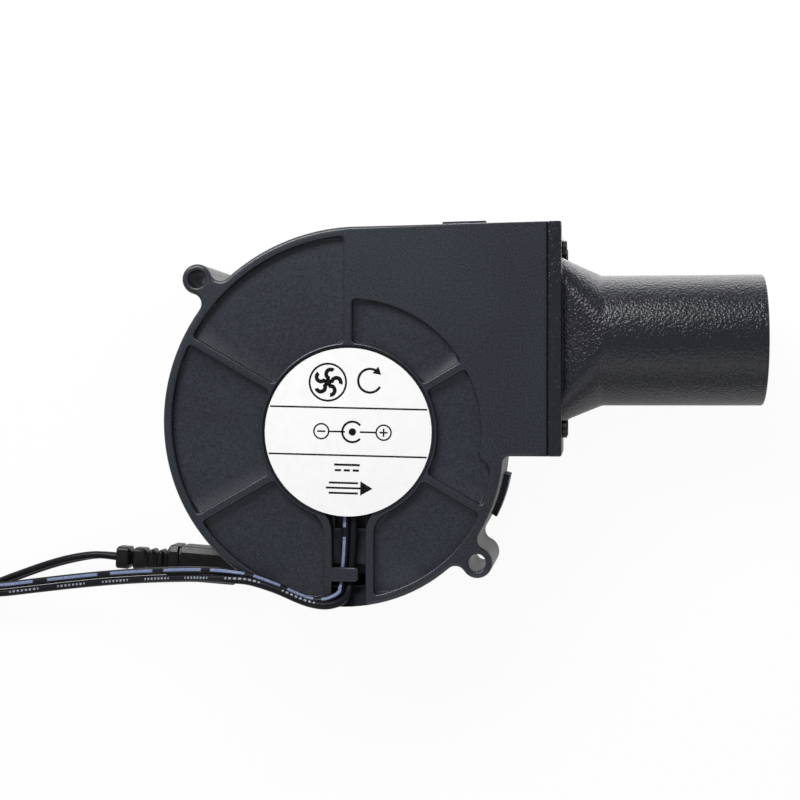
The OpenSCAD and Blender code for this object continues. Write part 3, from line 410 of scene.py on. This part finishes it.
for name, node, shift, finish, count in (("striped_lead", "striped_wire", 0.5, stripedPvc, dashCount),
                                         ("plain_lead", "plain_wire", -0.5, plainPvc, tickCount)):
    spots, rolls = wireSpots(shift * leadSet["apart"])
    lead = finishPiece(wireTube(spots, rolls, count), name, [finish], [node], angleDeg=50)


# A point on an oblong's outline, with corners of radius r or chamfered by a cut in x and y
def rimSpot(turn, a, b, r, cut):
    c, s = math.cos(turn), math.sin(turn)
    inX = inY = r
    if cut:
        slant = math.hypot(*cut)
        if abs(c) * cut[0] > abs(s) * cut[1]:
            inY = cut[1] + (slant - cut[1]) * r / cut[0]
        else:
            inX = cut[0] + (slant - cut[0]) * r / cut[1]
    return math.copysign(a - inX, c) + r * c, math.copysign(b - inY, s) + r * s


def loft(rings, perCorner, place, closed=False):
    # A skin through oblongs: place along, half height, half width, corner radius, chamfer and shift, in mm
    bm = bmesh.new()
    turned = bm.verts.layers.float.new("turn")
    ring = bmesh.ops.create_circle(bm, segments=4 * perCorner, radius=mm)["verts"]
    for i, v in enumerate(ring):
        v[turned] = (i + 0.5) * math.pi / 2 / perCorner
    edges = list({e for v in ring for e in v.link_edges})
    firstEdges = edges
    for i, (along, a, b, r, cut, shift) in enumerate(rings):
        if i:
            ring, edges = extrudeRing(bm, edges)
        for v in ring:
            x, y = rimSpot(v[turned], a, b, r, cut)
            v.co = Vector((x, y + shift, along)) * mm
    if closed:
        bmesh.ops.bridge_loops(bm, edges=firstEdges + edges)
    else:
        bmesh.ops.edgeloop_fill(bm, edges=firstEdges)
        bmesh.ops.edgeloop_fill(bm, edges=edges)
    bmesh.ops.recalc_face_normals(bm, faces=bm.faces)
    bmesh.ops.transform(bm, matrix=place, verts=bm.verts)
    return bm


# Connector: drawn along +Z, then laid on the lead's end
connectorSet = {
    "spot": (-68.2, -35.05, 4.75), "turnDeg": -4, "perCorner": 12,
    "corner": 1.1, "cut": (0.85, 1.7), "soft": 0.4,  # corners of the neck, then chamfer and its rounding
    "neck": 3.0, "neckEdge": 0.4, "neckCorner": 0.8, "neckEnd": 14.1, "slotSteps": 3,
    "slots": ((4.2, 1.2, 1.0), (8.7, 0.75, 1.1), (11.2, 0.75, 1.1), (13.3, 0.6, 0.6)),  # place, depth, half
    # place along and half width: the collar and its groove, the shell, and the round socket in it
    "collar": ((15.25, 4.45), (15.6, 4.75), (17.6, 4.75), (17.9, 4.5), (17.95, 4.15), (18.4, 4.15)),
    "shell": ((18.4, 4.45), (18.5, 4.65), (18.75, 4.75), (33.4, 4.75), (33.7, 4.63), (33.8, 4.35)),
    "socket": ((33.8, 3.5), (33.7, 3.28), (33.5, 3.2), (23.4, 3.2), (23.4, 1.0), (18.9, 1.0))}
onLead = (Matrix.Translation(Vector(connectorSet["spot"]) * mm)
          @ Matrix.Rotation(math.radians(connectorSet["turnDeg"]), 4, "Z")
          @ Matrix.Rotation(math.pi / 2, 4, "Y"))


def gripRings(c):
    full, begin = c["neck"], c["neck"] - c["neckEdge"]
    rings = [(0, begin, begin, c["neckCorner"], 0, 0), (c["neckEdge"], full, full, c["corner"], 0, 0)]
    steps = c["slotSteps"]
    for z, depth, half in c["slots"]:  # ridges roll into the slots between them
        for k in range(-steps, steps + 1):
            edge = full - depth * (1 + math.cos(k * math.pi / steps)) / 2
            rings.append((z + k * half / steps, edge, edge, c["corner"], 0, 0))
    rings.append((c["neckEnd"], full, full, c["corner"], 0, 0))
    return rings + [(z, edge, edge, c["soft"], c["cut"], 0) for z, edge in c["collar"]]


def shellRings(c):
    skin = [(z, edge, edge, c["soft"], c["cut"], 0) for z, edge in c["shell"]]
    return skin + [(z, edge, edge, edge, 0, 0) for z, edge in c["socket"]]


grip = finishPiece(loft(gripRings(connectorSet), connectorSet["perCorner"], onLead),
                   "connector_strain_grip", [connectorPvc], ["connector_grip"])
shell = finishPiece(loft(shellRings(connectorSet), connectorSet["perCorner"], onLead),
                    "connector_body", [connectorPvc], ["connector_shell"])
print("connector made")

# Nozzle: flange, oblong foot, round spigot and bore in one skin
nozzleSet = {
    "flange": (50.6, 54.1), "flangeHalf": (29.548, 16.5), "flangeEdge": 0.5, "flangeDrop": -0.4,
    "axis": (23.548, 16.9), "foot": (20.9, 14.0, 7.6), "footFillet": 0.4, "round": 16.8,
    "change": 10.2, "changeSoft": 0.07, "tip": 105.1, "tipEdge": 0.6, "wall": 1.9, "smallEdge": 0.3,
    "perCorner": 32, "filletSteps": 4, "footSteps": 4, "easeSteps": 6, "tipSteps": 3}
toOutlet = Matrix(((0, 0, 1, 0), (1, 0, 0, nozzleSet["axis"][0] * mm),
                   (0, 1, 0, nozzleSet["axis"][1] * mm), (0, 0, 0, 1)))  # drawn along +Z, laid along +X


def nozzleRings(n):
    back, face = n["flange"]
    wide, deep = n["flangeHalf"]
    edge, drop, fillet, small = n["flangeEdge"], n["flangeDrop"], n["footFillet"], n["smallEdge"]
    lip, wall, soft = n["tipEdge"], n["wall"], n["changeSoft"]

    def plate(x, inset):
        return x, wide - inset, deep - inset, edge, 0, drop

    def section(x, inset):  # from the oblong foot to the round spigot, easing into it
        t = (x - face) / n["change"]
        share = t if inset or t < 1 - soft else 1 - (1 + soft - min(t, 1 + soft)) ** 2 / (4 * soft)
        a, b, r = (p + (n["round"] - p) * min(max(share, 0), 1) for p in n["foot"])
        return x, a - inset, b - inset, r - inset, 0, 0

    rings = [section(back, wall), plate(back, small), plate(back + small, 0), plate(face - edge, 0),
             plate(face - small / 2, small / 2), plate(face, edge)]
    a, b, r = section(face, 0)[1:4]
    for k in range(n["filletSteps"] + 1):  # fillet where the foot leaves the flange
        turn = k * math.pi / 2 / n["filletSteps"]
        out = fillet * (1 - math.sin(turn))
        rings.append((face + fillet * (1 - math.cos(turn)), a + out, b + out, r + out, 0, 0))
    slope, ease = n["change"] * (1 - soft), n["change"] * 2 * soft  # straight, then easing into the round
    for k in range(n["footSteps"]):
        rings.append(section(face + fillet + (slope - fillet) * (k + 1) / n["footSteps"], 0))
    for k in range(n["easeSteps"]):
        rings.append(section(face + slope + ease * (k + 1) / n["easeSteps"], 0))
    for k in range(n["tipSteps"] + 1):  # rounded tip
        turn = k * math.pi / 2 / n["tipSteps"]
        half = n["round"] - lip * (1 - math.cos(turn))
        rings.append((n["tip"] - lip * (1 - math.sin(turn)), half, half, half, 0, 0))
    for x, half in ((n["tip"], n["round"] - wall + small), (n["tip"] - small, n["round"] - wall)):
        rings.append((x, half, half, half, 0, 0))
    return rings + [section(x, wall) for x in (face + n["change"], face)]


finishPiece(loft(nozzleRings(nozzleSet), nozzleSet["perCorner"], toOutlet, closed=True),
            "nozzle_body", [nozzlePlastic], ["outlet_nozzle"])
print("nozzle made")

# Casing, cover and screws: the solids with their moulded edge radii
mouldedSet = {
    "rimRadius": 0.5, "coverRadius": 0.35, "partingRadius": 0.25, "screwRadius": 0.12,
    "outerTimes": 1.9, "rimNear": 0.8, "tallWall": 6,  # the outer rim is rounder, and stands on tall walls
    "recessDrop": 0.34, "recessReach": 22.2, "recessNear": 1.0,
    "pocketCorner": 0.9, "pocketWall": (1.5, 2.0), "cornerDeg": (35, 120),
    "boreTimes": 1.1, "screwDeg": 30, "flatFrom": 0.99, "slopeFrom": 0.2}
near = 0.01 * mm  # heights this close are one level
flatSlot, wallSlot, boreSlot, edgeSlot, slopeShadeSlot = range(5)
casingFinish = [casingPlastic, wallPlastic, borePlastic, edgePlastic, slopeShadePlastic]
rearBottom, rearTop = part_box("rear_casing")
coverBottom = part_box("inlet_cover")[0]
earHoles = next(m for m in frame["record"]["mounts"] if m["name"] == "ear_holes")
earReach = earHoles["dims"]["pcd_mm"] / 2 * mm
earMiddles = [Vector(earHoles["pos_m"][:2]) + Vector((-side, side)) * earReach / math.sqrt(2)
              for side in (-1, 1)]


def inEar(spot):  # in the bore of a screw ear
    reach = earHoles["dims"]["hole_r_mm"] * mouldedSet["boreTimes"] * mm
    return min((spot.xy - middle).length for middle in earMiddles) < reach


def standing(e):  # an upright edge in a corner of a pocket, with walls that are wide enough to round it
    low, high = sorted(v.co.z for v in e.verts)
    least, most = (depth * mm for depth in mouldedSet["pocketWall"])
    if high - low < least or high < rearTop.z - 5 * near or low < rearTop.z - most:
        return False
    if len(e.link_faces) != 2:
        return False
    wide = min(f.calc_area() for f in e.link_faces) > mouldedSet["pocketCorner"] * mm * (high - low)
    blunt, sharp = (-math.radians(a) for a in mouldedSet["cornerDeg"])
    return wide and sharp < e.calc_face_angle_signed() < blunt


def isFlat(f):
    return abs(f.normal.z) > flatRise


def solidOf(node):  # a node's solid with whole walls instead of triangles
    bm = bmesh.new()
    bm.from_mesh(nodes[node].data)
    bmesh.ops.remove_doubles(bm, verts=bm.verts, dist=0.002 * mm)
    bmesh.ops.dissolve_limit(bm, angle_limit=math.radians(0.4), verts=bm.verts, edges=bm.edges)
    bmesh.ops.triangulate(bm, faces=[f for f in bm.faces if isFlat(f)])
    return bm


def flatRegions(bm):  # level faces that join, one list for each stretch
    left, regions = {f for f in bm.faces if isFlat(f)}, []
    while left:
        region = [left.pop()]
        for f in region:
            joined = {g for e in f.edges for g in e.link_faces} & left
            left -= joined
            region += joined
        regions.append(region)
    return regions


def refill(bm, region, up):  # a level stretch filled afresh from its outlines
    inside = set(region)
    rim = [e for e in {e for f in region for e in f.edges} if len(inside.intersection(e.link_faces)) == 1]
    bmesh.ops.delete(bm, geom=region, context="FACES")
    filled = bmesh.ops.triangle_fill(bm, edges=rim, use_beauty=True, normal=(0, 0, up))["geom"]
    return [g for g in filled if isinstance(g, bmesh.types.BMFace)]


def inRecess(spot):  # on the rim of the label's shallow recess, where the rounding is shallow too and takes the slope finish's painted shade
    high = spot.z > rearTop.z - mouldedSet["recessNear"] * mm
    return high and spot.xy.length < mouldedSet["recessReach"] * mm


def outerRim(bm):  # the outline's corners, known by the tall walls under them
    foot = rearTop.z - mouldedSet["tallWall"] * mm
    return [v.co.xy for v in bm.verts if abs(v.co.z - rearTop.z) < near and not inEar(v.co)
            and any(e.other_vert(v).co.z < foot for e in v.link_edges)]


def onRim(spot, rim):
    return any((spot.xy - corner).length < mouldedSet["rimNear"] * mm for corner in rim)


def crown(bm, level, up, radius, rim=()):  # rounds a level's edges in three steps, and the outer rim more
    for region in flatRegions(bm):
        if abs(region[0].calc_center_median().z - level) > near:
            continue
        for last, turn in ((0, 30), (30, 60), (60, 90)):  # degrees round the edge
            inward = math.cos(math.radians(last)) - math.cos(math.radians(turn))
            drop = 1 - math.sin(math.radians(last))
            ring = bmesh.ops.inset_region(bm, faces=region, thickness=inward * radius,
                                          use_even_offset=True, use_boundary=True)["faces"]
            for f in ring:
                # the recess rim takes the slope finish, whose darker tone paints a ring of shade round the
                # label
                f.material_index = slopeShadeSlot if inRecess(f.calc_center_median()) else edgeSlot
            flat = {v for f in region for v in f.verts}
            for e in {e for f in ring for e in f.edges if len(flat.intersection(e.verts)) == 1}:
                inner, outer = sorted(e.verts, key=lambda v: v not in flat)
                times = mouldedSet["outerTimes"] if onRim(outer.co, rim) else 1
                inner.co.xy += (inner.co - outer.co).xy * (times - 1)
                depth = mouldedSet["recessDrop"] * mm if inRecess(outer.co) else radius * times
                outer.co.z -= up * drop * depth
        refill(bm, region, up)
    bmesh.ops.recalc_face_normals(bm, faces=bm.faces)
    return bm


def faceFinishes(bm):  # textured flats, matt slopes with a painted shade tone, walls drawn along the mould, and the ears' bores
    for f in bm.faces:
        rise = abs(f.normal.z)
        if rise > mouldedSet["flatFrom"]:
            f.material_index = flatSlot
        elif rise > mouldedSet["slopeFrom"]:
            f.material_index = slopeShadeSlot
        else:
            f.material_index = boreSlot if inEar(f.calc_center_median()) else wallSlot


def rearShell():
    bm = solidOf("rear_casing")
    corners = [e for e in bm.edges if standing(e)]
    bmesh.ops.bevel(bm, geom=corners, offset=mouldedSet["pocketCorner"] * mm, affect="EDGES", segments=4,
                    profile=0.5, material=-1, clamp_overlap=False)
    for region in flatRegions(bm):
        refill(bm, region, 1)
    print("pocket corners rounded:", len(corners))
    faceFinishes(bm)
    crown(bm, rearBottom.z, -1, mouldedSet["partingRadius"] * mm)
    return crown(bm, rearTop.z, 1, mouldedSet["rimRadius"] * mm, outerRim(bm))


def inletShell():
    bm = solidOf("inlet_cover")
    faceFinishes(bm)
    crown(bm, rearBottom.z, 1, mouldedSet["partingRadius"] * mm)
    return crown(bm, coverBottom.z, -1, mouldedSet["coverRadius"] * mm)


def screwSet():
    bm = solidOf("nozzle_screws")
    bmesh.ops.triangulate(bm, faces=bm.faces)
    sharp = math.radians(mouldedSet["screwDeg"])
    outer = [e for e in bm.edges if len(e.link_faces) == 2 and e.calc_face_angle_signed() > sharp]
    bmesh.ops.bevel(bm, geom=outer, offset=mouldedSet["screwRadius"] * mm, affect="EDGES", segments=3,
                    profile=0.5, material=-1)
    return bm


finishPiece(rearShell(), "scroll_casing", casingFinish, ["rear_casing"])
finishPiece(inletShell(), "scroll_cover", casingFinish, ["inlet_cover"])
finishPiece(screwSet(), "flange_screws", [oxideSteel], ["nozzle_screws"])
print("moulded pieces made")

# Label print: two rules and plain pictograms, flat shapes given the ink's thickness
inkSet = {
    "height": 32.8, "thickness": 0.02, "turnDeg": -1.3, "merge": 0.001, "stepDeg": 6,
    "rules": ((6.17, 20.2), (-5.9, 20.3)), "line": 0.42,  # height and half length of each rule
    "fan": {"at": (-5.4, 12.6), "ring": 4.7, "ringLine": 0.5, "hub": 0.95, "blades": 5, "reach": 2.2,
            "blade": 1.15, "bladeLine": 1.0, "sweep": (-20, 190)},
    "spin": {"at": (5.4, 13.2), "ring": 3.0, "line": 0.6, "sweep": (60, 330), "tipDeg": 52, "tip": 1.3,
             "tipTurnDeg": -40},
    "polarity": {"at": (1.2, 0.1), "reach": 8, "ring": 1.9, "ringLine": 0.4, "sign": 2.1, "link": 4.2,
                 "cup": 2.6, "cupLine": 0.55, "sweep": (40, 320), "pin": 0.95},
    "current": {"at": (0, -9.0), "apart": 0.7, "long": 6.6, "short": 1.6, "step": 2.3, "line": 0.55},
    "flow": {"at": (0, -14.2), "apart": 1.3, "long": 9.0, "short": 7.5, "back": 0.8, "line": 0.5,
             "tipAt": 4.6, "tip": 2.1}}


def bar(bm, at, size):
    place = Matrix.Translation((*at, 0)) @ Matrix.Diagonal((*size, 1, 1))
    bmesh.ops.create_grid(bm, x_segments=1, y_segments=1, size=0.5, matrix=place)


def dot(bm, at, radius, segments=32, turnDeg=0):  # three segments give an arrow's head
    place = Matrix.Translation((*at, 0)) @ Matrix.Rotation(math.radians(turnDeg - 90), 4, "Z")
    bmesh.ops.create_circle(bm, cap_ends=True, segments=segments, radius=radius, matrix=place)


def band(bm, at, radius, width, fromDeg, toDeg):
    a, turn = math.radians(fromDeg), math.radians(toDeg - fromDeg)
    middle, ray = Vector((*at, 0)), Vector((math.cos(a), math.sin(a), 0))
    ends = [bm.verts.new(middle + ray * (radius + s * width / 2)) for s in (-1, 1)]
    bmesh.ops.spin(bm, geom=ends + [bm.edges.new(ends)], cent=middle, axis=(0, 0, 1), angle=turn,
                   steps=int((toDeg - fromDeg) / inkSet["stepDeg"]), use_merge=toDeg - fromDeg == 360)


def inkPrint(k):
    bm = bmesh.new()
    for y, half in k["rules"]:
        bar(bm, (0, y), (2 * half, k["line"]))
    p = k["fan"]
    x, y = p["at"]
    band(bm, (x, y), p["ring"], p["ringLine"], 0, 360)
    dot(bm, (x, y), p["hub"])
    for i in range(p["blades"]):
        turn = 360 / p["blades"] * i
        a = math.radians(turn)
        band(bm, (x + p["reach"] * math.cos(a), y + p["reach"] * math.sin(a)), p["blade"], p["bladeLine"],
             turn + p["sweep"][0], turn + p["sweep"][1])
    p = k["spin"]
    x, y = p["at"]
    band(bm, (x, y), p["ring"], p["line"], *p["sweep"])
    a = math.radians(p["tipDeg"])
    dot(bm, (x + p["ring"] * math.cos(a), y + p["ring"] * math.sin(a)), p["tip"], 3, p["tipTurnDeg"])
    p = k["polarity"]
    x, y = p["at"]
    for side in (-1, 1):
        band(bm, (x + side * p["reach"], y), p["ring"], p["ringLine"], 0, 360)
        bar(bm, (x + side * p["reach"], y), (p["sign"], k["line"]))
        bar(bm, (x + side * p["reach"] / 2, y), (p["link"], k["line"]))
    arm = (p["sign"] - k["line"]) / 2  # the plus sign's upright is in two halves
    for side in (-1, 1):
        bar(bm, (x + p["reach"], y + side * (arm + k["line"]) / 2), (k["line"], arm))
    band(bm, (x, y), p["cup"], p["cupLine"], *p["sweep"])
    dot(bm, (x, y), p["pin"])
    p = k["current"]
    x, y = p["at"]
    bar(bm, (x, y + p["apart"]), (p["long"], p["line"]))
    for i in (-1, 0, 1):
        bar(bm, (x + p["step"] * i, y - p["apart"]), (p["short"], p["line"]))
    p = k["flow"]
    x, y = p["at"]
    for i in (-1, 0, 1):
        bar(bm, (x - p["back"], y + p["apart"] * i), (p["short"] if i else p["long"], p["line"]))
    dot(bm, (x + p["tipAt"], y), p["tip"], 3)
    bmesh.ops.remove_doubles(bm, verts=bm.verts, dist=k["merge"])
    bmesh.ops.recalc_face_normals(bm, faces=bm.faces)
    bmesh.ops.solidify(bm, geom=bm.faces, thickness=k["thickness"])
    bmesh.ops.recalc_face_normals(bm, faces=bm.faces)
    low = min(v.co.z for v in bm.verts)
    place = Matrix.Diagonal((mm, mm, mm, 1)) @ Matrix.Rotation(math.radians(k["turnDeg"]), 4, "Z")
    bmesh.ops.transform(bm, matrix=place @ Matrix.Translation((0, 0, k["height"] - low)), verts=bm.verts)
    return bm


finishPiece(inkPrint(inkSet), "label_print", [printInk])
print("label printed")

# Inner parts keep their solids
innerFinish = {
    "label": labelVinyl, "impeller": impellerPlastic, "rotor_yoke": zincSteel, "magnet_ring": ferriteStone,
    "hub_bush": turnedBrass, "shaft": groundSteel, "shaft_clip": zincSteel, "preload_spring": groundSteel,
    "bearing_tube": turnedBrass, "stator_core": sheetStack, "stator_coils": copperTurns,
    "front_insulator": insulatorNylon, "rear_insulator": insulatorNylon, "circuit_board": boardLaminate,
    "driver_chip": chipEpoxy, "hall_sensor": chipEpoxy, "chip_parts": chipEpoxy,
    "connector_sleeve": nickelPlate, "connector_pin": nickelPlate}
for end in ("front", "rear"):
    for part in ("outer_ring", "inner_ring", "balls"):
        innerFinish[f"{end}_bearing_{part}"] = groundSteel
    innerFinish[f"{end}_bearing_cage"] = turnedBrass
for node, finish in innerFinish.items():
    nodes[node].data.materials.clear()
    nodes[node].data.materials.append(finish)
print("inner finishes set")

# Floor and light: shares of plain white where the floor is seen and mirrored, the rest takes the shadow
floorSet = {"seen": 0.94, "mirrored": 0.26, "half": 4, "below": 0.02 * mm}
floorMesh = bpy.data.meshes.new("floor")
bm = bmesh.new()
bmesh.ops.create_grid(bm, x_segments=1, y_segments=1, size=floorSet["half"])
bmesh.ops.translate(bm, verts=bm.verts, vec=(0, 0, cadBox[0].z - floorSet["below"]))
bm.to_mesh(floorMesh)
bm.free()
floor = bpy.data.objects.new("floor", floorMesh)
scene.collection.objects.link(floor)
paper = bpy.data.materials.new("white_paper_floor")
paper.use_nodes = True
tree = paper.node_tree
tree.nodes.clear()
ray = addNode(tree, "LightPath")
seen = addNode(tree, "Math", {0: ray.outputs["Is Camera Ray"], 1: ray.outputs["Is Transmission Ray"]},
               operation="ADD", use_clamp=True)
seen = addNode(tree, "Math", {0: seen.outputs[0], 1: floorSet["seen"]}, operation="MULTIPLY")
share = addNode(tree, "Math", {0: ray.outputs["Is Glossy Ray"], 1: floorSet["mirrored"],
                               2: seen.outputs[0]}, operation="MULTIPLY_ADD", use_clamp=True)
matt = addNode(tree, "BsdfDiffuse", {"Color": linear("#f4f4f4")})
glow = addNode(tree, "Emission", {"Color": linear("#ffffff"), "Strength": 1})
mixed = addNode(tree, "MixShader", {0: share.outputs[0], 1: matt.outputs[0], 2: glow.outputs[0]})
clear = addNode(tree, "BsdfTransparent")
under = addNode(tree, "NewGeometry").outputs["Backfacing"]
both = addNode(tree, "MixShader", {0: under, 1: mixed.outputs[0], 2: clear.outputs[0]})
addNode(tree, "OutputMaterial", {"Surface": both.outputs[0]})
floorMesh.materials.append(paper)

# A soft box beyond the photograph's top edge, a fill from below it, and a low strip that lights the paper
lightSet = {
    "key": {"place": (-0.2, 0.46, 0.42), "aim": (0, 0, 0), "size": (0.5, 0.22), "watts": 3.8, "seen": True},
    "fill": {"place": (0.1, -0.5, 0.5), "aim": (0, 0, 0), "size": (0.8, 0.4), "watts": 0.7, "seen": True},
    "strip": {"place": (0.066, 0.078, 0.034), "aim": (0.066, 0.078, 0), "size": (0.13, 0.03), "watts": 0.09,
              "seen": False}}
worldLight = 0.4
for name, kit in lightSet.items():
    lamp = bpy.data.lights.new(name, "AREA")
    lamp.shape = "RECTANGLE"
    lamp.size, lamp.size_y = kit["size"]
    lamp.energy = kit["watts"]
    stand = bpy.data.objects.new(name, lamp)
    stand.location = kit["place"]
    stand.rotation_euler = (Vector(kit["aim"]) - Vector(kit["place"])).to_track_quat("-Z", "Y").to_euler()
    stand.visible_camera = stand.visible_glossy = kit["seen"]
    scene.collection.objects.link(stand)
world = bpy.data.worlds.new("studio")
world.use_nodes = True
scene.world = world
tree = world.node_tree
tree.nodes.clear()
ray = addNode(tree, "LightPath")
strength = addNode(tree, "MapRange", {"Value": ray.outputs["Is Camera Ray"], 3: worldLight, 4: 1})
sky = addNode(tree, "Background", {"Color": linear("#ffffff"), "Strength": strength.outputs[0]})
addNode(tree, "OutputWorld", {"Surface": sky.outputs[0]})
print("floor and light set")
